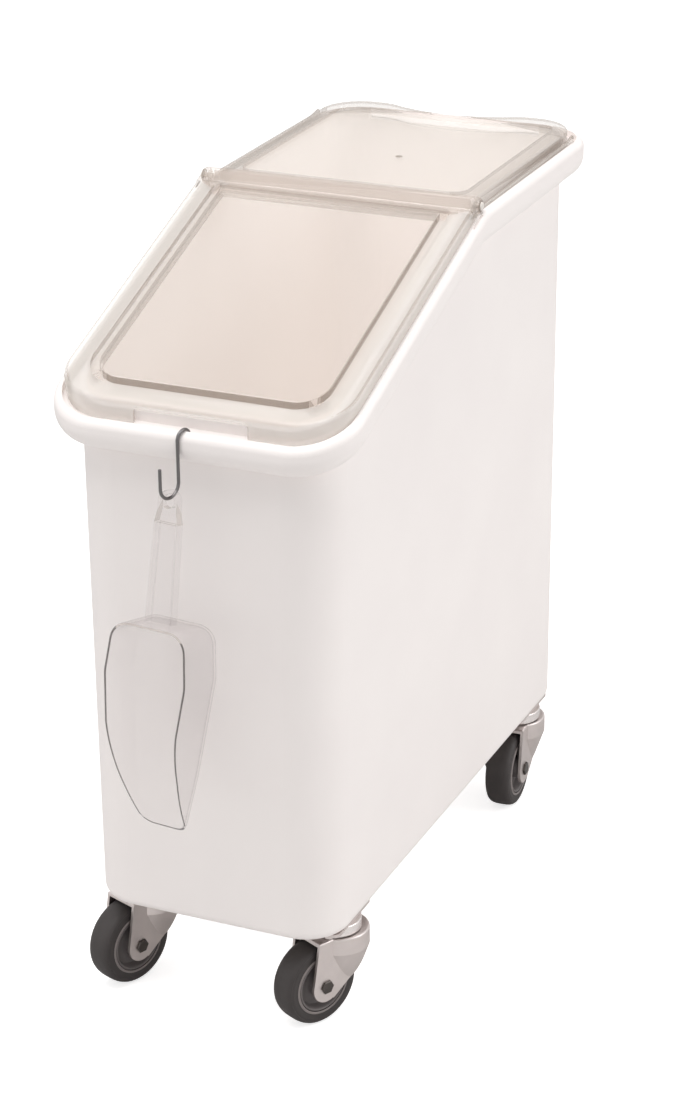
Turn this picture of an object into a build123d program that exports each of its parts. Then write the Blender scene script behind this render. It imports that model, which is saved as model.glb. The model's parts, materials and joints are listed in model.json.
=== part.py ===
from build123d import *
import os
from math import atan, cos, degrees, radians, sin, tan

# Mobile ingredient bin: a slant-topped tub on four swivel casters, with a hinged front lid,
# a lift-off rear lid, and a scoop that hangs from a wire hook on the front rim.
# Millimetres. +Z is up, the front of the bin looks along -Y, and +X is its right side.

# Tub
RIM_WIDTH = 312.0
RIM_LENGTH = 695.0
RIM_CORNER = 60.0
RIM_OVERHANG = 22.0
RIM_DEPTH = 38.0
RIM_ROLL = 8.0
RIM_UNDERCURVE = 20.0
RIDGE_WIDTH = 8.0
GUTTER_DEPTH = 7.0
UPSTAND_INSET = 22.0
UPSTAND_RISE = 3.0
WALL = 5.0
WALL_DRAFT = 2.5
WALL_CORNER = 46.0
FLOOR_THICKNESS = 6.0
FLOOR_EDGE = 11.0
FLOOR_COVE = 3.5
TOP_Z = 758.5
SLOPE = radians(19.24)
BEND_Y = 18.0
BEND_RADIUS = 40.0
FINGER_GAP_INSET = 47.5
FINGER_GAP_WIDTH = 196.0

# Lids
LID_PLATE = 2.6
LID_FOOT_GAP = 0.3
LID_INSET = 7.0
LID_FRONT_INSET = 17.5
LID_CORNER = 50.0
SKIRT_INSET = 9.5
SKIRT_TOP = 1.5
RAIL_INSET = 8.5
LID_BORDER = 14.1
LID_SHOULDER = 4.0
WINDOW_RISE = 1.0
CHANNEL_WIDTH = 9.0
CHANNEL_DEPTH = 6.0
WINDOW_INSET = 38.0
WINDOW_REAR_Y = -11.0
WINDOW_FRONT_INSET = 45.5
WINDOW_CORNER = 30.0
NOTCH_WIDTH = 116.0
NOTCH_HEIGHT = 15.0
BAND_Y = -5.0
LID_WALL = 4.5
REAR_LID_INSET = 16.5
REAR_LID_BACK_INSET = 18.5
REAR_LID_FRONT_Y = 12.0
REAR_LID_CORNER = 45.0
REAR_CREST = 10.5
REAR_PANEL_DROP = 4.0
REAR_BEAD_WIDTH = 17.0
TROUGH_LENGTH = 18.0
TROUGH_DROP = 12.6
FLANGE_BACK_INSET = 55.5
TAB_STEP = 3.0
TAB_HEIGHT = 6.5
REAR_EAR_RADIUS = 4.6
FINGER_RECESS_WIDTH = 150.0
FINGER_RECESS_DEPTH = 20.0

# Lid hinge
HINGE_Y = 14.5
HINGE_DROP = 9.1
PIN_RADIUS = 2.5
PIN_HEAD_RADIUS = 4.2
PIN_HEAD = 1.5
PIN_CLEARANCE = 0.06
BOSS_RADIUS = 6.8
BOSS_HEIGHT = 3.0
EAR_MARGIN = 1.0
POCKET_GAP = 1.0
POCKET_DEPTH = 3.0
TROUGH_END_GAP = 4.0
SLOT_LENGTH = 24.0
SLOT_WIDTH = 3.0
SIDE_GAP = 0.4

# Casters
CASTER_HEIGHT = 110.0
WHEEL_RADIUS = 44.0
WHEEL_WIDTH = 30.0
TYRE_INNER_RADIUS = 29.0
HUB_RADIUS = 12.0
WEB_THICKNESS = 9.0
TYRE_ROUND = 8.0
RIM_STEP = 2.0
RIM_WALL = 3.5
RIM_BEVEL = 1.0
TRAIL = 27.0
KINGPIN_SIDE_INSET = 52.0
KINGPIN_END_INSET = 92.5
KINGPIN_SHIFT = 3.0
PLATE_WIDTH = 44.0
PLATE_LENGTH = 84.0
PLATE_THICKNESS = 3.5
RACE_RADIUS = 27.0
RACE_HEIGHT = 12.0
CUP_WALL = 2.5
CUP_GAP = 1.2
GROOVE_INSET = 2.0
BEARING_GAP = 1.0
FORK_PLATE = 3.0
FORK_BOSS = 16.5
SKIRT_RADIUS = 31.0
SKIRT_SHIFT = 5.0
SKIRT_LOW = 76.0
FORK_GAP = 2.0
CROWN_THICKNESS = 4.0
AXLE_RADIUS = 4.0
AXLE_HEX = 7.5
AXLE_HEAD = 2.5
AXLE_NUT_HEIGHT = 5.0
AXLE_TIP = 1.0
AXLE_SEAT_GAP = 1.0
BUSH_RADIUS = 6.0
KINGPIN_RADIUS = 6.0
RUNNING_CLEARANCE = 0.05
BALL_RADIUS = 3.0
BALL_COUNT = 16
BOLT_RADIUS = 3.0
BOLT_HOLE_RADIUS = 3.3
BOLT_HEX = 5.5
BOLT_HEAD = 4.0
FLOOR_NUT_HEIGHT = 7.0
NUT_CAP = 1.0
WASHER = 1.0
BOLT_SPACING_X = 18.0
BOLT_SPACING_Y = 66.0
FRONT_RIGHT_ANGLE = 243.5
FRONT_LEFT_ANGLE = 248.5
REAR_RIGHT_ANGLE = 272.5
REAR_LEFT_ANGLE = 262.0

# Hook and scoop
WIRE_RADIUS = 1.6
HOOK_TOP_RADIUS = 8.6
HOOK_LOW_RADIUS = 12.5
HOOK_SHANK = 39.0
HOOK_TIP = 19.0
HOOK_X = -3.5
HOOK_YAW = 15.0
TOUCH_GAP = 0.3
SCOOP_WALL = 2.2
SCOOP_WIDTH = 91.0
SCOOP_DEPTH = 62.0
SCOOP_BOWL = 206.0
MOUTH_FORWARD = 20.0
SCOOP_YAW = 8.0
SCOOP_CORNER = 20.0
SCOOP_ROUND = 15.0
SCOOP_KNEE = 60.0
RING_RADIUS = 10.5
HANDLE_LENGTH = 116.0
HANDLE_WIDTH = 26.0
HANDLE_THICKNESS = 9.0
HANDLE_LEAN = 12.0
SCOOP_TILT_ANGLE = 0.9
HANDLE_HOLE = 6.5
HANDLE_EASE = 2.0
HANDLE_LIFT = 1.75
HANDLE_FLARE = 2.0

os.makedirs("parts", exist_ok=True)
REACH = 2000.0
OVERCUT = 1.0
HALF_W = RIM_WIDTH / 2
HALF_L = RIM_LENGTH / 2


def front_corner(y):
    """Drop of the sloping surfaces below their flat level, at a place in front of the bend."""
    return (BEND_Y - y) * tan(SLOPE)


def above(level, bent=True):
    """All that lies above a surface parallel to the rim's top edge, at a level over it."""
    z = TOP_Z + level
    far = REACH / 2
    front = (-far, z - front_corner(-far))
    if bent:
        rear = [(BEND_Y, z), (far, z)]
    else:
        rear = [(far, z - front_corner(far))]
    line = [front] + rear + [(far, REACH), (-far, REACH)]
    sketch = Plane.YZ * make_face(Polyline(*line, close=True))
    if bent:
        bend = sketch.vertices().sort_by(lambda v: (v.Y - BEND_Y) ** 2 + (v.Z - z) ** 2)[0]
        sketch = fillet(bend, BEND_RADIUS)
    return extrude(sketch, amount=HALF_W + RIM_OVERHANG, both=True)


def plan(inset, corner=None):
    """The rim's outline from above, moved in by an inset."""
    radius = RIM_CORNER - inset if corner is None else corner
    return RectangleRounded(RIM_WIDTH - 2 * inset, RIM_LENGTH - 2 * inset, radius)


def column(outline):
    return extrude(outline, amount=REACH / 2)


def block(x0, x1, y0, y1, z0, z1):
    size = Box(x1 - x0, y1 - y0, z1 - z0)
    return Pos((x0 + x1) / 2, (y0 + y1) / 2, (z0 + z1) / 2) * size


def rod(radius, x0, x1, y, z):
    """A cylinder along X."""
    return Pos((x0 + x1) / 2, y, z) * Rot(0, 90, 0) * Cylinder(radius, abs(x1 - x0))


def border(faces):
    """Edges that only one of the faces has."""
    loose = []
    for face in faces:
        for edge in face.edges():
            twins = [other for other in faces if other is not face
                     and any(edge.is_same(e) for e in other.edges())]
            if not twins:
                loose.append(edge)
    return loose


def both_sides(shape):
    return shape + mirror(shape, Plane.YZ)


# Places that several pieces share
GUTTER = -GUTTER_DEPTH
LID_FOOT = GUTTER + LID_FOOT_GAP
HINGE_Z = TOP_Z + LID_BORDER + WINDOW_RISE - HINGE_DROP
EAR_OUTER = HALF_W - SKIRT_INSET
EAR_INNER = EAR_OUTER - LID_PLATE
REAR_EAR_OUTER = EAR_INNER - SIDE_GAP
REAR_EAR_INNER = REAR_EAR_OUTER - LID_PLATE
REAR_TOP = TOP_Z + REAR_CREST
TROUGH_TOP = REAR_TOP - TROUGH_DROP
TROUGH_BACK_Y = REAR_LID_FRONT_Y + TROUGH_LENGTH
REAR_LID_HALF = HALF_W - REAR_LID_INSET
REAR_LID_BACK_Y = HALF_L - REAR_LID_BACK_INSET
FLANGE_BACK_Y = HALF_L - FLANGE_BACK_INSET
FINGER_GAP_Y = HALF_L - FINGER_GAP_INSET
WINDOW_FRONT_Y = WINDOW_FRONT_INSET - HALF_L
CAVITY_INSET = RIM_OVERHANG + WALL
FLOOR_Z = CASTER_HEIGHT


def bolt_places(x, y):
    return [(x + sx * BOLT_SPACING_X / 2, y + sy * BOLT_SPACING_Y / 2)
            for sx in (-1, 1) for sy in (-1, 1)]


KINGPIN_X = HALF_W - KINGPIN_SIDE_INSET
FRONT_Y = KINGPIN_SHIFT + KINGPIN_END_INSET - HALF_L
REAR_Y = KINGPIN_SHIFT - KINGPIN_END_INSET + HALF_L
CASTERS = {
    "front_right": (KINGPIN_X, FRONT_Y, FRONT_RIGHT_ANGLE),
    "front_left": (-KINGPIN_X, FRONT_Y, FRONT_LEFT_ANGLE),
    "rear_right": (KINGPIN_X, REAR_Y, REAR_RIGHT_ANGLE),
    "rear_left": (-KINGPIN_X, REAR_Y, REAR_LEFT_ANGLE),
}


# Tub: wall, floor, rolled rim with its gutter, and the upstand that the lids close over
def drafted(inset, z0, height, edge):
    """A wall surface that leans out by the draft over the tub's height."""
    full = TOP_Z - FLOOR_Z
    lean = degrees(atan(WALL_DRAFT / full))
    foot = inset + WALL_DRAFT * (1 - (z0 - FLOOR_Z) / full)
    outline = plan(foot, WALL_CORNER - (inset - RIM_OVERHANG))
    solid = Pos(0, 0, z0) * extrude(outline, amount=height, taper=-lean)
    bottom = solid.faces().sort_by(Axis.Z)[0]
    return fillet(bottom.edges(), edge)


def make_tub():
    rim = column(plan(0)) & (above(-RIM_DEPTH) - above(0))
    top_faces = [f for f in rim.faces() if f.normal_at().Z > 0.5]
    rim = fillet(border(top_faces), RIM_ROLL)
    low_faces = [f for f in rim.faces() if f.normal_at().Z < -0.5]
    rim = fillet(border(low_faces), RIM_UNDERCURVE)
    shoulder = column(plan(UPSTAND_INSET, WALL_CORNER))
    rim -= (column(plan(RIDGE_WIDTH)) - shoulder) & above(GUTTER)
    upstand = shoulder & (above(GUTTER - WALL) - above(UPSTAND_RISE))
    wall = drafted(RIM_OVERHANG, FLOOR_Z, TOP_Z, FLOOR_EDGE) - above(-RIM_DEPTH / 2)
    tub = rim + upstand + wall
    tub -= drafted(CAVITY_INSET, FLOOR_Z + FLOOR_THICKNESS, TOP_Z, FLOOR_COVE)
    half_gap = FINGER_GAP_WIDTH / 2
    tub -= block(-half_gap, half_gap, FINGER_GAP_Y, HALF_L - RIDGE_WIDTH, TOP_Z + GUTTER, REACH)
    relief = block(HALF_W - CAVITY_INSET - OVERCUT, HALF_W - UPSTAND_INSET + OVERCUT,
                   REAR_LID_FRONT_Y - TROUGH_END_GAP, TROUGH_BACK_Y + TROUGH_END_GAP,
                   TROUGH_TOP - LID_PLATE - POCKET_GAP, REACH)
    pocket = rod(BOSS_RADIUS + POCKET_GAP, HALF_W - RIDGE_WIDTH - OVERCUT,
                 EAR_OUTER + BOSS_HEIGHT + POCKET_DEPTH, HINGE_Y, HINGE_Z)
    slot_x = HALF_W - RIDGE_WIDTH + SLOT_WIDTH
    slot = Pos(slot_x, HINGE_Y - SLOT_LENGTH / 2) * Rot(0, 0, 90) * SlotOverall(SLOT_LENGTH, SLOT_WIDTH)
    slot = column(slot) & above(-SLOT_WIDTH)
    tub -= both_sides(relief + pocket + slot)
    for x, y, _ in CASTERS.values():
        for bx, by in bolt_places(x, y):
            tub -= Pos(bx, by, FLOOR_Z) * Cylinder(BOLT_HOLE_RADIUS, 4 * FLOOR_THICKNESS)
    return tub


# Front lid: sloping clear cover with a raised window, hinged at its rear corners
def slanted(level):
    return above(level, bent=False)


def layer(outline, low, high):
    """The part of a column between two levels of the slope."""
    return column(outline) & (slanted(low) - slanted(high))


def window_outline(grow=0.0):
    width = RIM_WIDTH - 2 * WINDOW_INSET + 2 * grow
    length = WINDOW_REAR_Y - WINDOW_FRONT_Y + 2 * grow
    sheet = Pos(0, (WINDOW_REAR_Y + WINDOW_FRONT_Y) / 2) * Rectangle(width, length)
    front = sheet.vertices().group_by(Axis.Y)[0]
    sheet = fillet(front, WINDOW_CORNER + grow)
    return fillet(sheet.vertices().group_by(Axis.Y)[-1], LID_SHOULDER + grow)


def top_border(shape):
    return border([f for f in shape.faces() if f.normal_at().Z > 0.5])


def lid_outline(side_inset, shrink=0.0):
    """The front lid from above, from its rear edge to its rounded front corners."""
    front = -HALF_L + LID_FRONT_INSET + shrink
    sheet = Rectangle(RIM_WIDTH - 2 * side_inset, BEND_Y - front)
    sheet = Pos(0, (BEND_Y + front) / 2) * sheet
    return fillet(sheet.vertices().group_by(Axis.Y)[0], LID_CORNER - shrink)


def make_front_lid():
    high = LID_BORDER + WINDOW_RISE
    low = -REACH / 8
    shell = layer(lid_outline(LID_INSET), SKIRT_TOP, LID_BORDER)
    shell = fillet([e for e in top_border(shell) if abs(e.center().Y - BEND_Y) > 1], LID_SHOULDER)
    shell -= layer(window_outline(CHANNEL_WIDTH), LID_BORDER - CHANNEL_DEPTH, LID_BORDER)
    rise = layer(window_outline(), LID_BORDER - CHANNEL_DEPTH - 1, high)
    rise = fillet(top_border(rise), WINDOW_RISE)
    band = block(LID_INSET - HALF_W, HALF_W - LID_INSET, BAND_Y, BEND_Y, 0, REACH)
    band &= slanted(SKIRT_TOP) - slanted(high)
    band = fillet(top_border(band), LID_PLATE)
    lid = shell + rise + band + layer(lid_outline(SKIRT_INSET), LID_FOOT, SKIRT_TOP + 1)
    room = layer(lid_outline(SKIRT_INSET + LID_PLATE, LID_PLATE), low, LID_BORDER - LID_PLATE)
    channel = window_outline(CHANNEL_WIDTH + LID_PLATE)
    room -= layer(channel, LID_BORDER - CHANNEL_DEPTH - LID_PLATE, high)
    lid -= room + layer(window_outline(-LID_PLATE), low, high - LID_PLATE)
    band_room = block(-EAR_INNER, EAR_INNER, BAND_Y + LID_PLATE, REACH, 0, REACH)
    lid -= band_room & (slanted(low) - slanted(high - LID_PLATE))
    lid -= block(-REACH, REACH, HINGE_Y, REACH, 0, HINGE_Z)
    half_wall = REAR_EAR_INNER - LID_PLATE
    wall = block(-half_wall, half_wall, BEND_Y - LID_PLATE, BEND_Y - LID_PLATE / 2,
                 HINGE_Z - LID_WALL, REACH)
    lid += wall - slanted(high - LID_PLATE / 2)
    ear = rod(BOSS_RADIUS + EAR_MARGIN, EAR_INNER, EAR_OUTER, HINGE_Y, HINGE_Z)
    boss = rod(BOSS_RADIUS, EAR_OUTER - OVERCUT, EAR_OUTER + BOSS_HEIGHT, HINGE_Y, HINGE_Z)
    lid += both_sides(ear + boss)
    bore = rod(PIN_RADIUS + PIN_CLEARANCE, EAR_INNER - OVERCUT, EAR_OUTER + 2 * BOSS_HEIGHT,
               HINGE_Y, HINGE_Z)
    lid -= both_sides(bore)
    front = -HALF_L + LID_FRONT_INSET
    notch = block(-NOTCH_WIDTH / 2, NOTCH_WIDTH / 2, front - OVERCUT, front + 2 * LID_PLATE, 0, REACH)
    notch &= slanted(2 * LID_FOOT) - slanted(LID_FOOT + NOTCH_HEIGHT)
    crown = [e for e in top_border(notch) if abs(e.center().X) > NOTCH_WIDTH / 2 - 1]
    lid -= fillet(crown, NOTCH_HEIGHT / 3)
    return lid


# Rear lid: flat clear cover with a raised bead, side flanges and a finger recess
def rear_outline():
    length = REAR_LID_BACK_Y - REAR_LID_FRONT_Y
    sheet = Pos(0, (REAR_LID_BACK_Y + REAR_LID_FRONT_Y) / 2) * Rectangle(2 * REAR_LID_HALF, length)
    sheet = fillet(sheet.vertices().group_by(Axis.Y)[-1], REAR_LID_CORNER)
    depth, half = FINGER_RECESS_DEPTH, FINGER_RECESS_WIDTH / 2
    radius = (half ** 2 + depth ** 2) / (2 * depth)
    sheet -= Pos(0, REAR_LID_BACK_Y - depth + radius) * Circle(radius)
    lips = [v for v in sheet.vertices() if v.Y > REAR_LID_BACK_Y - 1 and abs(v.X) < half + 1]
    return fillet(lips, REAR_LID_CORNER)


def make_rear_lid():
    foot = TOP_Z + LID_FOOT
    panel_top = REAR_TOP - REAR_PANEL_DROP
    half = REAR_LID_HALF
    outline = rear_outline()
    lid = Pos(0, 0, foot) * extrude(outline, amount=REAR_TOP - foot)
    top = lid.faces().sort_by(Axis.Z)[-1]
    ring = [e for e in top.edges() if e.center().Y > REAR_LID_FRONT_Y + 1]
    lid = fillet(ring, LID_PLATE + 1)
    back = REAR_LID_BACK_Y - FINGER_RECESS_DEPTH - LID_PLATE
    room = Rectangle(2 * half - 2 * REAR_BEAD_WIDTH, back - TROUGH_BACK_Y - 2 * LID_PLATE)
    room = Pos(0, (TROUGH_BACK_Y + 2 * LID_PLATE + back) / 2) * fillet(room.vertices(), REAR_BEAD_WIDTH)
    lid -= Pos(0, 0, panel_top) * extrude(room, amount=REACH)
    lid -= block(-REACH, REACH, -REACH, TROUGH_BACK_Y, TROUGH_TOP, REACH)
    inside = offset(outline, -LID_PLATE)
    lid -= extrude(inside, amount=panel_top - LID_PLATE) - block(
        -REACH, REACH, -REACH, TROUGH_BACK_Y + LID_PLATE, 0, REACH)
    lid -= block(LID_PLATE - half, half - LID_PLATE, -REACH, TROUGH_BACK_Y + 2 * LID_PLATE,
                 0, TROUGH_TOP - LID_PLATE)
    flange_outer = HALF_W - RAIL_INSET - SIDE_GAP
    flange_inner = flange_outer - LID_PLATE
    ledge_z = TROUGH_TOP - LID_PLATE
    ledge = block(half - OVERCUT, flange_outer, TROUGH_BACK_Y, FLANGE_BACK_Y, ledge_z, TROUGH_TOP)
    flange = block(flange_inner, flange_outer, TROUGH_BACK_Y, FLANGE_BACK_Y, foot, TOP_Z + TAB_STEP)
    tab_line = [(FLANGE_BACK_Y - 4 * TAB_HEIGHT, TOP_Z),
                (FLANGE_BACK_Y - 4 * TAB_HEIGHT, TOP_Z + TAB_STEP),
                (FLANGE_BACK_Y - TAB_STEP, TOP_Z + TAB_HEIGHT), (FLANGE_BACK_Y, TOP_Z)]
    tab = Plane.YZ.offset(flange_inner) * make_face(Polyline(*tab_line, close=True))
    tab = extrude(tab, amount=LID_PLATE)
    ear = rod(REAR_EAR_RADIUS, REAR_EAR_INNER, REAR_EAR_OUTER, HINGE_Y, HINGE_Z)
    post = block(REAR_EAR_INNER, REAR_EAR_OUTER, HINGE_Y - REAR_EAR_RADIUS, HINGE_Y + PIN_RADIUS,
                 foot, HINGE_Z)
    arm = block(REAR_EAR_INNER, REAR_EAR_OUTER, HINGE_Y, TROUGH_BACK_Y + LID_PLATE, foot, TROUGH_TOP)
    web = block(half - OVERCUT, REAR_EAR_OUTER, REAR_LID_FRONT_Y, TROUGH_BACK_Y, ledge_z, TROUGH_TOP)
    end = block(REAR_EAR_INNER, flange_outer, TROUGH_BACK_Y, TROUGH_BACK_Y + LID_PLATE, foot, TROUGH_TOP)
    lid += both_sides(ledge + flange + tab + ear + post + arm + web + end)
    bore = rod(PIN_RADIUS, REAR_EAR_INNER - OVERCUT, REAR_EAR_OUTER + SIDE_GAP, HINGE_Y, HINGE_Z)
    return lid - both_sides(bore)


def make_hinge_pin(side):
    tail = REAR_EAR_INNER - OVERCUT
    head = EAR_OUTER + BOSS_HEIGHT + SIDE_GAP
    pin = rod(PIN_RADIUS, tail, head, HINGE_Y, HINGE_Z)
    pin += rod(PIN_HEAD_RADIUS, head, head + PIN_HEAD, HINGE_Y, HINGE_Z)
    rim = pin.edges().filter_by(GeomType.CIRCLE).sort_by(Axis.X)[-1]
    pin = fillet(rim, PIN_HEAD / 2)
    return pin if side > 0 else mirror(pin, Plane.YZ)


# Wire hook over the rim's ridge, with the scoop on its lower bend
RIDGE_Y = -HALF_L + RIM_ROLL
RIDGE_Z = TOP_Z - front_corner(RIDGE_Y)
SHANK_Y = -HALF_L - TOUCH_GAP - WIRE_RADIUS
HOOK_EYE_Y = SHANK_Y + HOOK_TOP_RADIUS
HOOK_EYE_Z = RIDGE_Z + TOUCH_GAP + WIRE_RADIUS - HOOK_TOP_RADIUS
HOOK_BEND_Y = SHANK_Y - HOOK_LOW_RADIUS * cos(radians(HOOK_YAW))
HOOK_BEND_Z = HOOK_EYE_Z - HOOK_SHANK


def make_hook():
    top, low = HOOK_TOP_RADIUS, HOOK_LOW_RADIUS
    reach = radians(30)
    tip = (HOOK_EYE_Y + top * cos(reach), HOOK_EYE_Z + top * sin(reach))
    crest = (HOOK_EYE_Y, HOOK_EYE_Z + top)
    shank_top = (SHANK_Y, HOOK_EYE_Z)
    shank_end = (SHANK_Y, HOOK_BEND_Z)
    sag = (SHANK_Y - low, HOOK_BEND_Z - low)
    toe = (SHANK_Y - 2 * low, HOOK_BEND_Z)
    end = (SHANK_Y - 2 * low, HOOK_BEND_Z + HOOK_TIP)
    line = (ThreePointArc(tip, crest, shank_top) + Line(shank_top, shank_end)
            + ThreePointArc(shank_end, sag, toe) + Line(toe, end))
    path = Wire((Plane.YZ * line).edges())
    section = Plane(path @ 0, z_dir=path % 0) * Circle(WIRE_RADIUS)
    return sweep(section, path=path)


# Scoop: clear moulded bowl with a ribbed handle, built about the middle of its ring
HANDLE_TOP_Z = HOOK_BEND_Z - HOOK_LOW_RADIUS + WIRE_RADIUS + TOUCH_GAP
EYE_Z = HANDLE_TOP_Z + HANDLE_LIFT - HANDLE_HOLE
NECK_Z = -HANDLE_LENGTH
TIP_Z = NECK_Z - SCOOP_BOWL
BACK_Y = SCOOP_DEPTH - MOUTH_FORWARD


def scoop_front(gap):
    """Outline of the bowl seen from the front, moved in by a gap."""
    half = SCOOP_WIDTH / 2 - gap
    low, knee = TIP_Z + gap, TIP_Z + SCOOP_KNEE
    brow = NECK_Z - SCOOP_KNEE / 2 - SCOOP_CORNER
    side = [(half * 0.54, low), (half * 0.76, knee), (half, brow), (half * 0.88, NECK_Z - gap)]
    face = make_face(Polyline(*side, *[(-x, z) for x, z in reversed(side)], close=True))
    face = fillet(face.vertices().group_by(Axis.Y)[-1], SCOOP_CORNER - gap)
    face = fillet(face.vertices().group_by(Axis.Y)[0], SCOOP_CORNER * 0.7)
    bends = [v for v in face.vertices() if abs(v.Y - knee) < 1 or abs(v.Y - brow) < 1]
    return fillet(bends, 2 * SCOOP_CORNER)


def scoop_block(gap):
    place = Plane(origin=(0, BACK_Y - gap, 0), x_dir=(1, 0, 0), z_dir=(0, -1, 0))
    solid = extrude(place * scoop_front(gap), amount=SCOOP_DEPTH)
    back = solid.faces().sort_by(Axis.Y)[-1]
    return fillet(back.edges(), SCOOP_ROUND - gap)


def make_scoop():
    bowl = scoop_block(0) - scoop_block(SCOOP_WALL)
    front = BACK_Y - SCOOP_DEPTH - 1
    lip_y = BACK_Y - 2 * SCOOP_WALL
    straight = NECK_Z - 1.4 * SCOOP_KNEE
    curve = Spline((front, straight), (front + SCOOP_DEPTH / 4, NECK_Z - 2.35 * SCOOP_KNEE),
                   (lip_y, TIP_Z), tangents=[(0.02, -1), (0.9, -1)])
    closing = Polyline((lip_y, TIP_Z), (lip_y, TIP_Z - SCOOP_WALL),
                       (front - SCOOP_WALL, TIP_Z - SCOOP_WALL),
                       (front - SCOOP_WALL, straight), (front, straight))
    bowl -= extrude(Plane.YZ * make_face(curve + closing), amount=SCOOP_WIDTH, both=True)
    ring, half, thick = RING_RADIUS, HANDLE_WIDTH / 2, HANDLE_THICKNESS
    neck, arm, foot = -ring, -2 * ring, NECK_Z - SCOOP_WALL
    flare = half + HANDLE_FLARE
    outline = make_face(Polyline((-ring, 0), (-ring, neck), (-half, arm), (-flare, foot),
                                 (flare, foot), (half, arm), (ring, neck), (ring, 0), close=True))
    handle = extrude(outline + Circle(ring), amount=thick / 2, both=True)
    edge = half - SCOOP_WALL
    foot_edge = edge + HANDLE_FLARE
    pocket = make_face(Polyline((-edge, arm), (-foot_edge, foot), (foot_edge, foot), (edge, arm),
                                close=True))
    for side in (Pos(0, 0, SCOOP_WALL / 2), Pos(0, 0, -SCOOP_WALL / 2 - thick)):
        handle -= side * extrude(pocket, amount=thick)
    handle -= Cylinder(HANDLE_HOLE, 2 * thick)
    mouths = [e for e in handle.edges().filter_by(GeomType.CIRCLE) if abs(e.radius - HANDLE_HOLE) < 0.01]
    handle = fillet(mouths, HANDLE_EASE)
    handle = Plane.XZ * handle - scoop_block(SCOOP_WALL / 2)
    return bowl + handle


# Swivel caster, built about its kingpin with the wheel trailing along +X
AXLE_Z = WHEEL_RADIUS
PLATE_LOW = CASTER_HEIGHT - PLATE_THICKNESS
CROWN_TOP = PLATE_LOW - RACE_HEIGHT
CROWN_LOW = CROWN_TOP - CROWN_THICKNESS
GROOVE_Z = CROWN_TOP + RACE_HEIGHT / 2
GROOVE_RADIUS = RACE_RADIUS - CUP_WALL - BALL_RADIUS - GROOVE_INSET
LEG_TIP = TRAIL + FORK_BOSS
FORK_HALF = WHEEL_WIDTH / 2 + FORK_GAP + FORK_PLATE


def ball_groove():
    return Pos(0, 0, GROOVE_Z) * Torus(GROOVE_RADIUS, BALL_RADIUS + TOUCH_GAP)


def wheel_place(shape):
    """From the wheel's own axis along Z to its axle across the fork."""
    return Pos(TRAIL, 0, AXLE_Z) * Rot(90, 0, 0) * shape


def yoke(gap):
    """The fork's bell about the kingpin and its two legs, moved in by a gap."""
    half, radius = FORK_HALF - gap, SKIRT_RADIUS - gap
    drop = SKIRT_LOW - AXLE_Z
    bell = Pos(0, 0, SKIRT_LOW) * extrude(Circle(radius), amount=CROWN_TOP - SKIRT_LOW)
    bell += Pos(0, 0, AXLE_Z + drop / 2) * Cone(half, radius, drop)
    return Pos(-SKIRT_SHIFT, 0, 0) * bell + block(-SKIRT_SHIFT, LEG_TIP, -half, half, 0, CROWN_TOP)


def make_fork():
    back = -SKIRT_RADIUS - SKIRT_SHIFT
    chin = TRAIL - FORK_BOSS / 2
    side = make_face(Polyline(
        (back, CROWN_TOP), (back, CROWN_TOP - FORK_BOSS), (TRAIL - 2 * FORK_BOSS, AXLE_Z + FORK_GAP),
        (chin, AXLE_Z - 0.95 * FORK_BOSS), (TRAIL, AXLE_Z), (LEG_TIP, AXLE_Z),
        (TRAIL + FORK_BOSS / 2, CROWN_TOP), close=True))
    side += Pos(TRAIL, AXLE_Z) * Circle(FORK_BOSS)
    fork = yoke(0) & extrude(Plane.XZ * side, amount=SKIRT_RADIUS, both=True)
    fork -= yoke(FORK_PLATE) & block(-REACH, REACH, -REACH, REACH, 0, CROWN_LOW)
    crown = fork.faces().sort_by(Axis.Z)[-1]
    fork = fillet(crown.outer_wire().edges(), CROWN_THICKNESS / 2)
    cone = extrude(Circle(RACE_RADIUS - CUP_WALL - BEARING_GAP), amount=RACE_HEIGHT / 4)
    fork += Pos(0, 0, CROWN_TOP) * cone
    seat = Cylinder(AXLE_HEX + AXLE_SEAT_GAP, SKIRT_RADIUS)
    for end in (-1, 1):
        fork -= wheel_place(Pos(0, 0, end * (FORK_HALF + SKIRT_RADIUS / 2)) * seat)
    fork -= ball_groove()
    fork -= Cylinder(KINGPIN_RADIUS + RUNNING_CLEARANCE, 4 * CASTER_HEIGHT)
    return fork - wheel_place(Cylinder(AXLE_RADIUS, 4 * FORK_HALF))


def make_plate():
    plate = extrude(RectangleRounded(PLATE_WIDTH, PLATE_LENGTH, 2 * BOLT_RADIUS), amount=PLATE_THICKNESS)
    for x, y in bolt_places(0, 0):
        plate -= Pos(x, y) * Cylinder(BOLT_HOLE_RADIUS, 4 * PLATE_THICKNESS)
    plate -= Cylinder(KINGPIN_RADIUS, 4 * PLATE_THICKNESS)
    return Pos(0, 0, PLATE_LOW) * plate


def make_race():
    """Upper cup: hangs from the plate and reaches round the ball ring."""
    low = CROWN_TOP + CUP_GAP
    cup = Pos(0, 0, low) * extrude(Circle(RACE_RADIUS), amount=PLATE_LOW - low)
    cup = fillet(cup.edges().filter_by(GeomType.CIRCLE), CUP_GAP)
    cup -= Pos(0, 0, low) * Cylinder(RACE_RADIUS - CUP_WALL, RACE_HEIGHT / 2 + BEARING_GAP)
    cup -= ball_groove()
    return cup - Cylinder(KINGPIN_RADIUS, 4 * CASTER_HEIGHT)


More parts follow.
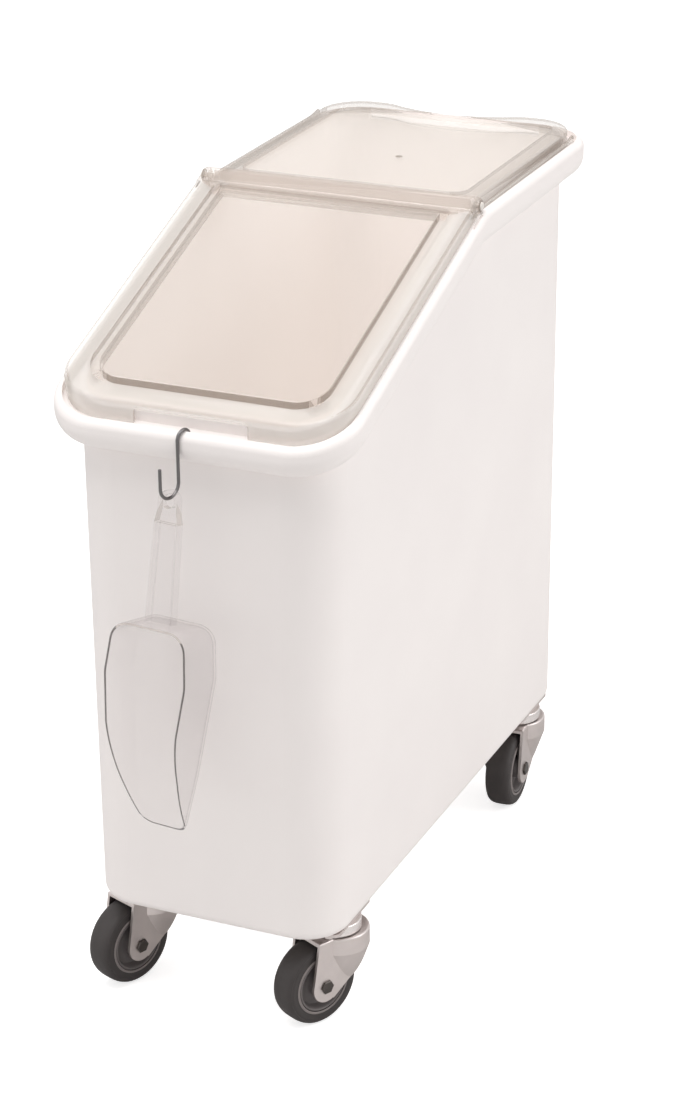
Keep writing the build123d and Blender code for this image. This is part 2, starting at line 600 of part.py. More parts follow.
def make_kingpin():
    top = CASTER_HEIGHT - TOUCH_GAP
    low = CROWN_LOW - TOUCH_GAP
    pin = Pos(0, 0, low) * extrude(Circle(KINGPIN_RADIUS), amount=top - low)
    head = Pos(0, 0, low - FORK_PLATE) * extrude(Circle(1.5 * KINGPIN_RADIUS), amount=FORK_PLATE)
    return pin + fillet(head.edges().sort_by(Axis.Z)[0], FORK_PLATE / 2)


def make_balls():
    ring = [Rot(0, 0, 360 * i / BALL_COUNT) * Pos(GROOVE_RADIUS, 0, GROOVE_Z) * Sphere(BALL_RADIUS)
            for i in range(BALL_COUNT)]
    return Compound(children=ring)


def make_tyre():
    half, edge = WHEEL_WIDTH / 2, TYRE_ROUND
    line = [(TYRE_INNER_RADIUS, RIM_STEP - half), (TYRE_INNER_RADIUS, half - RIM_STEP),
            (WHEEL_RADIUS - edge, half), (WHEEL_RADIUS, half - edge),
            (WHEEL_RADIUS, edge - half), (WHEEL_RADIUS - edge, -half)]
    section = make_face(Polyline(*line, close=True))
    crown = [v for v in section.vertices() if v.X > TYRE_INNER_RADIUS + RIM_STEP]
    return wheel_place(revolve(Plane.XZ * fillet(crown, edge / 2), Axis.Z))


def make_core():
    half, hub, web = WHEEL_WIDTH / 2, HUB_RADIUS, WEB_THICKNESS / 2
    rim = half - RIM_STEP
    ring = TYRE_INNER_RADIUS - RIM_WALL
    bore = BUSH_RADIUS + RUNNING_CLEARANCE
    corners = [(TYRE_INNER_RADIUS, rim), (ring + RIM_BEVEL, rim), (ring, web),
               (hub, web), (hub, half), (bore, half)]
    line = [(r, -z) for r, z in corners] + corners[::-1]
    section = make_face(Polyline(*line, close=True))
    return wheel_place(revolve(Plane.XZ * section, Axis.Z))


def make_bush():
    length = WHEEL_WIDTH + 2 * FORK_GAP
    return wheel_place(Cylinder(BUSH_RADIUS, length) - Cylinder(AXLE_RADIUS, length))


def hexagon(radius, z, height):
    return Pos(0, 0, z) * extrude(RegularPolygon(radius, 6), amount=height)


def make_axle():
    """Bolt with its head on the near side of the fork and its tip through the nut."""
    length = 2 * FORK_HALF + AXLE_NUT_HEIGHT + AXLE_TIP
    shank = Pos(0, 0, -FORK_HALF) * extrude(Circle(AXLE_RADIUS), amount=length)
    head = hexagon(AXLE_HEX, -FORK_HALF - AXLE_HEAD, AXLE_HEAD)
    head = chamfer(head.faces().sort_by(Axis.Z)[0].edges(), AXLE_HEAD / 3)
    return wheel_place(head + shank)


def make_nut():
    nut = hexagon(AXLE_HEX, FORK_HALF, AXLE_NUT_HEIGHT)
    nut = chamfer(nut.faces().sort_by(Axis.Z)[-1].edges(), AXLE_HEAD / 3)
    return wheel_place(nut - Cylinder(AXLE_RADIUS, 4 * FORK_HALF))


def make_plate_bolts():
    """Bolt heads with washers under the plate, shanks up through the floor."""
    washer = Pos(0, 0, PLATE_LOW - WASHER) * extrude(Circle(2 * BOLT_RADIUS), amount=WASHER)
    head = hexagon(BOLT_HEX, PLATE_LOW - WASHER - BOLT_HEAD, BOLT_HEAD)
    length = PLATE_THICKNESS + FLOOR_THICKNESS + WASHER + FLOOR_NUT_HEIGHT - NUT_CAP
    shank = Pos(0, 0, PLATE_LOW) * extrude(Circle(BOLT_RADIUS), amount=length)
    bolt = washer + head + shank
    return Compound(children=[Pos(x, y, 0) * bolt for x, y in bolt_places(0, 0)])


def make_floor_nuts():
    """Cap nuts on washers inside the tub, one to each bolt."""
    z = CASTER_HEIGHT + FLOOR_THICKNESS
    washer = Pos(0, 0, z) * extrude(Circle(2 * BOLT_RADIUS), amount=WASHER)
    cap = hexagon(BOLT_HEX, z + WASHER, FLOOR_NUT_HEIGHT)
    cap = chamfer(cap.faces().sort_by(Axis.Z)[-1].edges(), WASHER)
    bore = Pos(0, 0, z) * extrude(Circle(BOLT_RADIUS), amount=WASHER + FLOOR_NUT_HEIGHT - NUT_CAP)
    nut = washer + cap - bore
    return Compound(children=[Pos(x, y, 0) * nut for x, y in bolt_places(0, 0)])


# The hook stands a little turned about its shank. The scoop turns with it by half and hangs a
# little to the right, turned about the middle of its ring
SCOOP_X = HOOK_X - HOOK_LOW_RADIUS * sin(radians(HOOK_YAW))
hook = Pos(HOOK_X, SHANK_Y, 0) * Rot(0, 0, -HOOK_YAW) * Pos(0, -SHANK_Y, 0) * make_hook()
scoop = Rot(0, 0, -SCOOP_YAW) * Rot(-HANDLE_LEAN, 0, 0) * Rot(0, -SCOOP_TILT_ANGLE, 0) * make_scoop()
scoop = Pos(SCOOP_X, HOOK_BEND_Y, EYE_Z) * scoop
MIDDLE_Y = (scoop.bounding_box().min.Y + HALF_L) / 2


def write(name, shape):
    export_step(Pos(0, -MIDDLE_Y, 0) * shape, f"parts/{name}.step")


write("bin_body", make_tub())
write("front_lid", make_front_lid())
write("rear_lid", make_rear_lid())
write("hinge_pin_right", make_hinge_pin(1))
write("hinge_pin_left", make_hinge_pin(-1))
write("s_hook", hook)
write("scoop", scoop)

still = {"top_plate": make_plate(), "upper_race": make_race(), "kingpin": make_kingpin(),
         "race_balls": make_balls(), "plate_bolts": make_plate_bolts(), "floor_nuts": make_floor_nuts()}
turning = {"fork": make_fork(), "tyre": make_tyre(), "wheel_core": make_core(), "axle_bush": make_bush(),
           "axle_bolt": make_axle(), "axle_nut": make_nut()}
for corner, (x, y, angle) in CASTERS.items():
    for name, shape in still.items():
        write(f"{corner}_{name}", Pos(x, y, 0) * shape)
    for name, shape in turning.items():
        write(f"{corner}_{name}", Pos(x, y, 0) * Rot(0, 0, angle) * shape)
print("middle of the part in the tub's own frame, y =", round(MIDDLE_Y, 3))
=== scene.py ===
# %% [markdown]
# Mobile ingredient bin. The imported CAD model is loaded as a fixed frame: every later piece rides
# on one of its bodies, and every CAD node that keeps its shape only gets a better finish.

# %% Load the frame
import json
from math import cos, pi, radians, sin
import bpy
import bmesh
from mathutils import Matrix, Vector
from mathutils.bvhtree import BVHTree


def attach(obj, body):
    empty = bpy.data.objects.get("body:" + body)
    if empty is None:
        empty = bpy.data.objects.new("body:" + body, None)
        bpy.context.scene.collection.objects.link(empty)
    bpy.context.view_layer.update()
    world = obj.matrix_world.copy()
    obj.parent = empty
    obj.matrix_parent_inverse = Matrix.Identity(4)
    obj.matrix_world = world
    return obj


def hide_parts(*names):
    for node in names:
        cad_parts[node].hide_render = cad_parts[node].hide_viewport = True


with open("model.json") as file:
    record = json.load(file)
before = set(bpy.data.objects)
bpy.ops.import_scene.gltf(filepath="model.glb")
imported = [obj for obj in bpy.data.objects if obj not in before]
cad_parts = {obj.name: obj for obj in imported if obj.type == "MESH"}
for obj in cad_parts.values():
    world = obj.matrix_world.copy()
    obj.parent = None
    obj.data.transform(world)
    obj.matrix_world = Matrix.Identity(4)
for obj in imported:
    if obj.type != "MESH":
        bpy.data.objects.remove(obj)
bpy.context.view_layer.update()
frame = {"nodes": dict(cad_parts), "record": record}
nodes = frame["nodes"]
CORNERS = ["front_right", "front_left", "rear_right", "rear_left"]

# %% [markdown]
# The camera stands where the photograph's perspective was solved: in front of the bin, to its
# right and above it, with a long lens. Its axes are built from an azimuth, an elevation and a
# small roll, because three angles are easier to adjust than a matrix.

# %% Camera
EYE = Vector((1.1744, -2.6085, 1.6172))
AZIMUTH, ELEVATION, ROLL = radians(23.896), radians(23.069), radians(-0.601)
LENS_MM, FILM_HEIGHT_MM = 99.54, 36.0

back = Vector((sin(AZIMUTH) * cos(ELEVATION), -cos(AZIMUTH) * cos(ELEVATION), sin(ELEVATION)))
level = Vector((cos(AZIMUTH), sin(AZIMUTH), 0))
right = level * cos(ROLL) + back.cross(level) * sin(ROLL)
up = back.cross(right)
lens = bpy.data.cameras.new("camera")
lens.sensor_fit = "VERTICAL"
lens.sensor_height = FILM_HEIGHT_MM
lens.lens = LENS_MM
lens.clip_start, lens.clip_end = 0.1, 60
camera = bpy.data.objects.new("camera", lens)
bpy.context.collection.objects.link(camera)
camera.matrix_world = Matrix.Translation(EYE) @ Matrix((right, up, back)).transposed().to_4x4()
bpy.context.scene.camera = camera
print("camera", round(EYE.length, 2), "m from the origin")

# %% [markdown]
# Shader maths reads better as sums and products than as a chain of calls. One small class wraps
# a socket and overloads the operators, so an expression adds its own Math nodes.

# %% Shader sockets that can be added and multiplied
class Val:
    def __init__(self, tree, link):
        self.tree, self.link = tree, link

    def math(self, operation, other=None, swap=False):
        parts = [self, other] if other is not None else [self]
        if swap:
            parts.reverse()
        return self.tree.add("ShaderNodeMath", {"operation": operation}, dict(enumerate(parts)))

    def __add__(self, other):
        return self.math("ADD", other)

    def __sub__(self, other):
        return self.math("SUBTRACT", other)

    def __rsub__(self, other):
        return self.math("SUBTRACT", other, swap=True)

    def __mul__(self, other):
        return self.math("MULTIPLY", other)

    def __pow__(self, other):
        return self.math("POWER", other)

    __radd__ = __add__
    __rmul__ = __mul__

    def clamp(self):
        return self.tree.add("ShaderNodeClamp", {}, {"Value": self})


print("sockets can be added, subtracted, multiplied and raised to a power")

# %% [markdown]
# A material is a tree of nodes. The next class makes the tree, adds a node from its type, its
# settings and its inputs, and hands back sockets that can be used in expressions.

# %% Material tree
class Tree:
    def __init__(self, name, **constants):
        self.material = bpy.data.materials.new(name)
        self.material.use_nodes = True
        self.nodes = self.material.node_tree.nodes
        self.links = self.material.node_tree.links
        self.shader = self.nodes["Principled BSDF"]
        self.place = self.add("ShaderNodeTexCoord", {}, {}, out="Object")
        for socket, value in constants.items():
            self.set(socket.replace("_", " "), value)

    def plug(self, socket, value):
        if isinstance(value, Val):
            self.links.new(value.link, socket)
        elif hasattr(socket.default_value, "__len__") and len(socket.default_value) == 4:
            socket.default_value = (*value[:3], 1.0)
        else:
            socket.default_value = value

    def set(self, socket, value):
        self.plug(self.shader.inputs[socket], value)

    def add(self, kind, settings, inputs, out=0):
        node = self.nodes.new(kind)
        for name, value in settings.items():
            setattr(node, name, value)
        for name, value in inputs.items():
            self.plug(node.inputs[name], value)
        return Val(self, node.outputs[out])

    def noise(self, scale, detail=3.0, rough=0.5, stretch=(1, 1, 1)):
        spot = self.add("ShaderNodeMapping", {}, {"Vector": self.place, "Scale": stretch})
        inputs = {"Vector": spot, "Scale": scale, "Detail": detail, "Roughness": rough}
        return self.add("ShaderNodeTexNoise", {}, inputs, out="Fac")

    def blend(self, value, first, second):
        inputs = {0: value, 6: first, 7: second}
        return self.add("ShaderNodeMix", {"data_type": "RGBA"}, inputs, out=2)

    def axis(self, name, vector=None):
        return self.add("ShaderNodeSeparateXYZ", {}, {"Vector": vector or self.place}, out=name)

    def bump(self, height, distance, strength=1.0):
        inputs = {"Height": height, "Distance": distance, "Strength": strength}
        self.set("Normal", self.add("ShaderNodeBump", {}, inputs, out="Normal"))


def shade(*screen):
    """Blender's linear values for a colour as a screen shows it, from 0 to 255."""
    return tuple(c / 255 / 12.92 if c < 11 else ((c / 255 + 0.055) / 1.055) ** 2.4 for c in screen)


print("a grey of 128 on the screen is", round(shade(128)[0], 3), "in linear values")

# %% [markdown]
# The tub is a thick white moulding with a satin skin. Its colour drifts a little over a hand's
# width, its gloss is uneven where hands and cloths have been, and a fine grain breaks the light.
# On the real tub, light comes through the white wall and keeps the inside pale. Scattering below
# the surface would show that, but it is slow and noisy. Instead the faces that look towards the
# middle of the tub carry painted light, a weak warm glow, and the model keeps its own mesh.

# %% White moulded plastic
TUB_CENTRE_Y = 0.0417
INSIDE_PAINTED_GLOW = 0.11
INSIDE_BELOW = -0.02


def tub_plastic():
    t = Tree("tub_plastic", Roughness=0.4, IOR=1.5, Emission_Strength=INSIDE_PAINTED_GLOW)
    normal = t.add("ShaderNodeTexCoord", {}, {}, out="Normal")
    outward = (t.axis("X", normal) * t.axis("X")
               + t.axis("Y", normal) * (t.axis("Y") - TUB_CENTRE_Y))
    # painted light: the faces that look towards the middle of the tub glow a warm white
    inside = t.add("ShaderNodeMath", {"operation": "LESS_THAN"}, {0: outward, 1: INSIDE_BELOW})
    t.set("Emission Color", t.blend(inside, (0.0, 0.0, 0.0), shade(252, 243, 230)))
    drift = t.noise(7.0, 2.0)
    t.set("Base Color", t.blend(drift, shade(239, 232, 230), shade(246, 240, 237)))
    t.set("Roughness", 0.36 + t.noise(22.0, 4.0) * 0.12 + t.noise(900.0, 1.0) * 0.05)
    t.bump(t.noise(55.0, 2.0) * 0.7 + t.noise(1400.0, 2.0) * 0.12, 0.00025, 0.35)
    return t.material


print("the inside of the tub glows with a strength of", INSIDE_PAINTED_GLOW)

# %% [markdown]
# The lids and the scoop are clear mouldings. A thin clear wall hides little where it is seen
# square on and more towards its edges. Real refraction through two faces of a thin wall needs
# many light paths, so the wall is a thin film instead: its opacity and tint follow Layer Weight.

# %% Clear moulded plastic
SLANT_POWER = 4.5


def clear_plastic(name, thin, edge, face_tint, edge_tint):
    t = Tree(name, IOR=1.5, Specular_IOR_Level=0.6)
    slant = t.add("ShaderNodeLayerWeight", {}, {"Blend": 0.5}, out="Facing")
    lean = slant ** SLANT_POWER
    t.set("Base Color", t.blend(lean, face_tint, edge_tint))
    t.set("Alpha", (thin + (edge - thin) * lean + t.noise(9.0, 2.0) * 0.02).clamp())
    t.set("Roughness", 0.06 + t.noise(18.0, 3.0) * 0.07)
    t.bump(t.noise(12.0, 1.0), 0.0002, 0.15)
    return t.material


print("clear walls close with the slant to the power of", SLANT_POWER)

# %% [markdown]
# The casters mix zinc-plated sheet, a brighter turned race, screws darkened with painted shade,
# a dark tyre and a dark moulded wheel. Plated sheet is satin with faint marks drawn out along one
# axis, so its noise is stretched. Rubber is nearly matt, and a fine bump gives it its grain. Two
# functions cover all.

# %% Metal and rubber
ROUGH_SPREAD = 0.1


def plated(name, colour, rough):
    t = Tree(name, Metallic=1.0, Roughness=rough)
    cloud = t.noise(45.0, 4.0)
    t.set("Base Color", t.blend(cloud, colour, tuple(c * 0.82 for c in colour)))
    marks = t.noise(160.0, 3.0, stretch=(1, 1, 0.2))
    t.set("Roughness", rough - ROUGH_SPREAD / 2 + marks * ROUGH_SPREAD)
    t.bump(t.noise(500.0, 2.0), 0.0001, 0.3)
    return t.material


def rubber(name, colour, rough):
    t = Tree(name, Roughness=rough)
    t.set("Base Color", t.blend(t.noise(60.0, 4.0), colour, tuple(c * 1.35 for c in colour)))
    t.set("Roughness", rough - 0.06 + t.noise(120.0, 3.0) * 0.14)
    t.bump(t.noise(1500.0, 2.0), 0.0001, 0.5)
    return t.material


print("the roughness of plated parts varies by", ROUGH_SPREAD)

# %% [markdown]
# Each finish gets a plain name, so that a node or a piece can ask for it. The clear ones differ
# only in how much they hide and in their tint. The CAD nodes keep their shapes, and each takes
# the finish that its record names, by assigning to its material slots.

# %% Finishes on the CAD nodes
FINISHES = {
    "tub": tub_plastic(),
    "clear": clear_plastic("clear_plastic", 0.06, 0.8, shade(252, 247, 240), shade(168, 156, 144)),
    "border": clear_plastic("clear_plastic_border", 0.3, 0.85, shade(243, 238, 232), shade(176, 165, 154)),
    "step": clear_plastic("clear_plastic_step", 0.5, 0.9, shade(172, 158, 146), shade(110, 98, 88)),
    "edge": clear_plastic("clear_plastic_edge", 0.42, 0.9, shade(196, 185, 175), shade(122, 111, 101)),
    "band": clear_plastic("clear_plastic_band", 0.3, 0.85, shade(222, 209, 199), shade(160, 148, 137)),
    # the scoop's darker tint is partly its own tint and partly painted shade of the shadow it casts
    "scoop": clear_plastic("clear_plastic_scoop_tint_and_shade", 0.07, 0.75, shade(205, 196, 195), shade(150, 142, 139)),
    "rim": clear_plastic("clear_plastic_rim", 0.85, 0.95, shade(92, 85, 84), shade(78, 72, 71)),
    "mark": rubber("moulded_mark", shade(150, 140, 130), 0.4),
    "pin": rubber("hinge_pin_plastic", shade(206, 200, 194), 0.35),
    "wire": plated("drawn_wire", shade(120, 118, 118), 0.32),
    "zinc": plated("zinc_sheet", shade(216, 207, 204), 0.42),
    "bright": plated("bright_race", shade(238, 232, 230), 0.25),
    # painted shade: the screws are darker than their zinc plating
    "fastener": plated("plated_screw_painted_shade", shade(88, 83, 80), 0.4),
    "tyre": rubber("tyre_rubber", shade(50, 45, 44), 0.6),
    "core": rubber("wheel_plastic", shade(100, 94, 93), 0.5),
    # painted highlight: the tyre's moulded ring gets a paler rubber colour
    "bead": rubber("tyre_bead_painted_highlight", shade(118, 110, 108), 0.45),
}
for part in frame["record"]["subparts"]:
    for place in nodes[part["node"]].material_slots:
        place.material = FINISHES[part["material_slot"]]
print(len(FINISHES), "finishes on", len(nodes), "nodes")

# %% [markdown]
# Round pieces could be carved from cylinders, but a real one is turned or moulded about an axle,
# and a profile spun round that axle says the same with a few points. Another helper turns the
# mesh into an object, gives it its finish and says which body carries it.

# %% Lathe helper
MM = 0.001
SHARP_ANGLE = radians(40)


def finished(name, shape, slot, body, *replaced, materials=()):
    """Turn a bmesh into an object that rides on a body and may stand for CAD nodes."""
    data = bpy.data.meshes.new(name)
    bmesh.ops.recalc_face_normals(shape, faces=shape.faces)
    shape.to_mesh(data)
    shape.free()
    data.shade_smooth()
    data.set_sharp_from_angle(angle=SHARP_ANGLE)
    for material in materials or (FINISHES[slot],):
        data.materials.append(material)
    obj = bpy.data.objects.new(name, data)
    bpy.context.collection.objects.link(obj)
    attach(obj, body)
    if replaced:
        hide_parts(*replaced)
    return obj


def lathe(profile, steps=96):
    """Spin a closed profile of (radius, height) points in millimetres round Z."""
    shape = bmesh.new()
    points = [shape.verts.new((r * MM, 0, z * MM)) for r, z in profile]
    edges = [shape.edges.new(pair) for pair in zip(points, points[1:] + points[:1])]
    bmesh.ops.spin(shape, geom=points + edges, cent=(0, 0, 0), axis=(0, 0, 1), dvec=(0, 0, 0),
                   angle=2 * pi, steps=steps, use_merge=True, use_duplicate=False)
    return shape


def both_ends(half_profile):
    """A profile given for one side, completed with its mirror on the other side."""
    return half_profile + [(r, -z) for r, z in reversed(half_profile)]


def standing(spot, direction):
    """The matrix that takes a lathed piece to a spot, with its Z along a direction."""
    return Matrix.Translation(spot) @ Vector(direction).to_track_quat("Z", "Y").to_matrix().to_4x4()


print("lathe ready, one unit of a profile is", MM, "m")

# %% [markdown]
# A wheel is two lathed pieces: a dark core with a raised lip, a recess and a hub, and a tyre with
# rounded shoulders and a moulded ring that carries a painted highlight in a paler rubber colour.
# The joint in the frame says where the axle is, so nothing is measured twice, and the new pieces
# stand for the plainer CAD ones.

# %% Tyres and wheel cores
TYRE_SIDE = [(29.0, 12.4), (29.3, 14.0), (30.1, 14.6), (31.1, 14.5), (31.9, 13.8), (33.4, 13.7),
             (36.4, 14.1), (38.2, 13.9), (39.2, 13.3), (40.0, 13.5), (41.4, 12.6), (42.7, 10.9),
             (43.5, 8.6), (43.9, 5.6), (44.0, 2.0)]
CORE_SIDE = [(6.2, 14.2), (7.2, 14.6), (8.4, 14.8), (11.2, 14.6), (11.9, 13.8), (12.2, 9.0),
             (12.7, 6.0), (13.8, 4.9), (15.5, 4.5), (22.4, 4.5), (24.0, 5.2), (24.9, 7.2),
             (25.9, 11.9), (26.5, 13.5), (27.3, 14.1), (28.3, 13.8), (28.9, 12.6)]
BEAD_INNER, BEAD_OUTER, BEAD_HEIGHT = 0.0291, 0.0318, 0.0139


# the faces of the tyre's moulded ring take the paler finish, a painted highlight
def paint_bead_highlight(tyre):
    for face in tyre.faces:
        middle = face.calc_center_median()
        if BEAD_INNER < middle.xy.length < BEAD_OUTER and abs(middle.z) > BEAD_HEIGHT:
            face.material_index = 1


joints = {joint["name"]: joint for joint in frame["record"]["behaviour"]["joints"]}
for corner in CORNERS:
    axle = joints[f"{corner}_wheel_spin"]
    place = standing(axle["pos_m"], axle["axis"])
    for part, profile, slot in (("tyre", TYRE_SIDE, "tyre"), ("wheel_core", CORE_SIDE, "core")):
        shape = lathe(both_ends(profile))
        skins = [FINISHES[slot]]
        if part == "tyre":
            paint_bead_highlight(shape)
            skins.append(FINISHES["bead"])
        bmesh.ops.transform(shape, matrix=place, verts=shape.verts)
        finished(f"{corner}_{part}_skin", shape, slot, f"{corner}_wheel", f"{corner}_{part}",
                 materials=skins)
    print(corner, "wheel at", [round(v, 3) for v in axle["pos_m"]])

# %% [markdown]
# Clear plastic looks darkest where the eye meets its edge, the lid's border lies over the white
# rim, and the window stands on a small step. Painting such lines by hand would never follow the
# shape. Here the depth of plastic behind a face, its place and its lean choose its finish.

# %% Finishes of the clear mouldings, face by face
WINDOW_EDGE_X, WINDOW_FRONT_Y, WINDOW_BACK_Y = 0.117, -0.2593, 0.0266
STEP_REACH = 0.006
STEP_LEAN = 0.6
LID_SLOPE = radians(19)
LID_UP = Vector((0, -sin(LID_SLOPE), cos(LID_SLOPE)))
LID_WALL = 0.0026
LID_EDGE_DEPTH, SCOOP_EDGE_DEPTH, HANDLE_SIDE_DEPTH = 2.2 * LID_WALL, 0.006, 0.012
STOP_TAB_X, STOP_TAB_Y, STOP_TAB_Z = 0.138, 0.305, 0.7612
SCOOP_NECK_Z = 0.456


def front_lid_finish(middle, normal, depth):
    outside = max(abs(middle.x) - WINDOW_EDGE_X, WINDOW_FRONT_Y - middle.y)
    if middle.y > WINDOW_BACK_Y:
        return "edge" if depth > LID_EDGE_DEPTH else "band"
    if abs(normal.dot(LID_UP)) < STEP_LEAN and abs(outside) < STEP_REACH:
        return "step"
    if depth > LID_EDGE_DEPTH:
        return "edge"
    return "border" if outside > 0 else "clear"


def rear_lid_finish(middle, normal, depth):
    if middle.z > STOP_TAB_Z and middle.y > STOP_TAB_Y and abs(middle.x) > STOP_TAB_X:
        return "step"
    return "edge" if depth > LID_EDGE_DEPTH else "clear"


def scoop_finish(middle, normal, depth):
    if middle.z < SCOOP_NECK_Z:
        return "rim" if depth > SCOOP_EDGE_DEPTH else "scoop"
    return "edge" if depth > HANDLE_SIDE_DEPTH else "scoop"


print("edges of the lids are deeper than", round(LID_EDGE_DEPTH * 1000, 2), "mm")

# %% [markdown]
# The CAD mesh of a clear moulding is never changed. It is copied, the copy's loose triangles are
# joined, and a ray into the plastic measures the depth behind every face. Joining loses the smooth
# normals that the model came with, so they are read from the CAD mesh and given to the copy.

# %% Copies of the clear mouldings
JOIN_DISTANCE = 1e-6
RAY_START = 1e-5
CENTRE_DIGITS = 6


def centre_key(face):
    return tuple(round(c, CENTRE_DIGITS) for c in face.center)


def face_corners(data, face):
    """Pairs of a corner's place and its number in the mesh."""
    return [(data.vertices[data.loops[i].vertex_index].co, i) for i in face.loop_indices]


def paint_by_depth(shape, finish_of):
    tree = BVHTree.FromBMesh(shape)
    skins = []
    for face in shape.faces:
        middle = face.calc_center_median()
        depth = tree.ray_cast(middle - face.normal * RAY_START, -face.normal)[3] or 0.0
        skin = finish_of(middle, face.normal, depth)
        if skin not in skins:
            skins.append(skin)
        face.material_index = skins.index(skin)
    return skins


def restore_normals(data, source):
    known = {centre_key(face): face_corners(source, face) for face in source.polygons}
    normals = []
    for face in data.polygons:
        for here, _ in face_corners(data, face):
            nearest = min(known[centre_key(face)], key=lambda corner: (corner[0] - here).length)
            normals.append(source.corner_normals[nearest[1]].vector)
    data.normals_split_custom_set(normals)


def clear_copy(node, finish_of):
    source = nodes[node].data
    shape = bmesh.new()
    shape.from_mesh(source)
    bmesh.ops.remove_doubles(shape, verts=shape.verts, dist=JOIN_DISTANCE)
    skins = paint_by_depth(shape, finish_of)
    copy = finished(f"{node}_skin", shape, "clear", node, node,
                    materials=[FINISHES[skin] for skin in skins])
    restore_normals(copy.data, source)
    print(node, len(copy.data.polygons), "faces with", skins)


clear_copy("front_lid", front_lid_finish)
clear_copy("rear_lid", rear_lid_finish)
clear_copy("scoop", scoop_finish)

# %% [markdown]
# Mouldings carry small marks: a gate mark on the rear lid, where the plastic came into the mould,
# and on each side a ring, a bright middle and a slit where the front lid snaps on its pin. They are
# lathed discs. A ray finds the surface under the gate mark and the slits, so that none floats, and
# the rings sit where the front lid is widest.

# %% Small moulded marks
MARK_STEPS, SLIT_STEPS, SLIT_STRETCH = 32, 24, 4.5
SLIT_DISTANCE = 0.017
CLEAR_OF_PART, ABOVE_PART = 0.4, 2


def surface_at(node, start, direction):
    data = nodes[node].data
    corners = [v.co for v in data.vertices]
    tree = BVHTree.FromPolygons(corners, [face.vertices for face in data.polygons])
    return tree.ray_cast(start, direction)[0]


def mark(name, shape, place, body, skin):
    bmesh.ops.transform(shape, matrix=place, verts=shape.verts)
    return finished(name, shape, "clear", body, materials=(FINISHES[skin],))


BUTTON = [(0.0, -0.4), (0.0, 0.2), (3.0, 0.2), (3.7, -0.1), (3.8, -0.4)]
RING = [(4.6, -0.3), (4.8, 0.35), (5.4, 0.6), (6.0, 0.35), (6.2, -0.3)]
CENTRE = [(0.0, -0.2), (0.0, 0.5), (1.6, 0.5), (1.9, -0.2)]
SLIT = [(0.0, -0.3), (0.0, 0.2), (1.0, 0.2), (1.3, 0.05), (1.4, -0.3)]
GATE_X, GATE_Y = 0.0075, 0.190
UP = Vector((0, 0, 1))
gate = surface_at("rear_lid", Vector((GATE_X, GATE_Y, ABOVE_PART)), -UP)
mark("gate_mark", lathe(BUTTON, MARK_STEPS), standing(gate, UP), "rear_lid", "mark")
hinge = Vector(joints["front_lid_hinge"]["pos_m"])
lid_half_width = max(v.co.x for v in nodes["front_lid"].data.vertices)
along = Vector((0, -cos(LID_SLOPE), -sin(LID_SLOPE)))
for side, name in ((1, "right"), (-1, "left")):
    out = Vector((side, 0, 0))
    boss = standing((side * lid_half_width, hinge.y, hinge.z), out)
    mark(f"hinge_ring_{name}", lathe(RING, MARK_STEPS), boss, "front_lid", "step")
    mark(f"hinge_centre_{name}", lathe(CENTRE, MARK_STEPS), boss, "front_lid", "bright")
    foot = surface_at("front_lid", hinge + SLIT_DISTANCE * along + CLEAR_OF_PART * out, -out)
    if foot:
        axes = Matrix((LID_UP, -out.cross(LID_UP), out)).transposed().to_4x4()
        place = Matrix.Translation(foot) @ axes @ Matrix.Diagonal((1, SLIT_STRETCH, 1, 1))
        mark(f"hinge_slit_{name}", lathe(SLIT, SLIT_STEPS), place, "front_lid", "mark")
print("gate mark at", [round(v, 3) for v in gate], "hinge at", [round(v, 3) for v in hinge])

# %% [markdown]
# A product photograph is taken on a pale sweep. The floor is a plain grid that glows for the
# camera only, so it looks white and lights the object no more than a real one would.

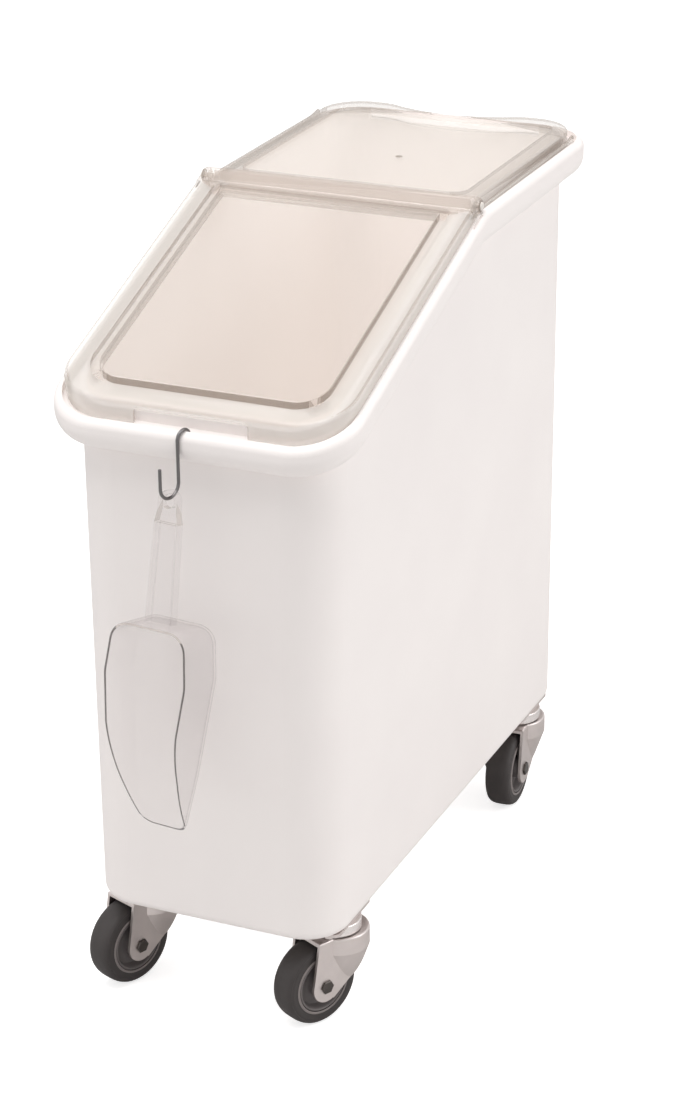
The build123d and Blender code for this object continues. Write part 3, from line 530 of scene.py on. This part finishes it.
# %% Floor
def floor_material():
    t = Tree("studio_floor", Roughness=0.9, Emission_Strength=0.7)
    t.set("Base Color", shade(226, 225, 224))
    ray = t.add("ShaderNodeLightPath", {}, {}, out="Is Camera Ray")
    t.set("Emission Color", t.blend(ray, (0.0, 0.0, 0.0), (1.0, 1.0, 1.0)))
    return t.material


floor_mesh = bmesh.new()
bmesh.ops.create_grid(floor_mesh, x_segments=1, y_segments=1, size=12)
floor_data = bpy.data.meshes.new("studio_floor")
floor_mesh.to_mesh(floor_data)
floor = bpy.data.objects.new("studio_floor", floor_data)
floor.data.materials.append(floor_material())
bpy.context.collection.objects.link(floor)
print("floor", tuple(round(v) for v in floor.dimensions))

# %% [markdown]
# The background is white for the camera, for reflections and for what is seen through the clear
# plastic, and dimmer as a light, so that the soft lamps can still model the form. The light on the
# object stays level, and colours render about as written.

# %% Background and lamps
BACKGROUND_LIGHT = 0.58
world = bpy.data.worlds.new("studio")
bpy.context.scene.world = world
world.use_nodes = True
sky = world.node_tree
paths = sky.nodes.new("ShaderNodeLightPath")
seen = paths.outputs["Is Camera Ray"]
for kind in ("Is Glossy Ray", "Is Transmission Ray"):
    either = sky.nodes.new("ShaderNodeMath")
    either.operation = "MAXIMUM"
    sky.links.new(seen, either.inputs[0])
    sky.links.new(paths.outputs[kind], either.inputs[1])
    seen = either.outputs[0]
strength = sky.nodes.new("ShaderNodeMapRange")
strength.inputs["To Min"].default_value = BACKGROUND_LIGHT
strength.inputs["To Max"].default_value = 1.0
sky.links.new(seen, strength.inputs["Value"])
sky.links.new(strength.outputs[0], sky.nodes["Background"].inputs["Strength"])
sky.nodes["Background"].inputs["Color"].default_value = (1, 1, 1, 1)


def lamp(name, place, target, size, power):
    data = bpy.data.lights.new(name, "AREA")
    data.shape = "DISK"
    data.size = size
    data.energy = power
    obj = bpy.data.objects.new(name, data)
    bpy.context.collection.objects.link(obj)
    obj.matrix_world = standing(place, Vector(place) - Vector(target))


lamp("key", (3.4, 0.8, 2.0), (0, 0, 0.4), 2.4, 45)
lamp("front_fill", (-2.4, -2.8, 1.6), (0, 0, 0.4), 2.2, 12)
lamp("top", (-0.3, -0.9, 3.8), (0, 0, 0.5), 2.6, 74)
bpy.context.scene.view_settings.view_transform = "Standard"
print("three lamps and a white background")
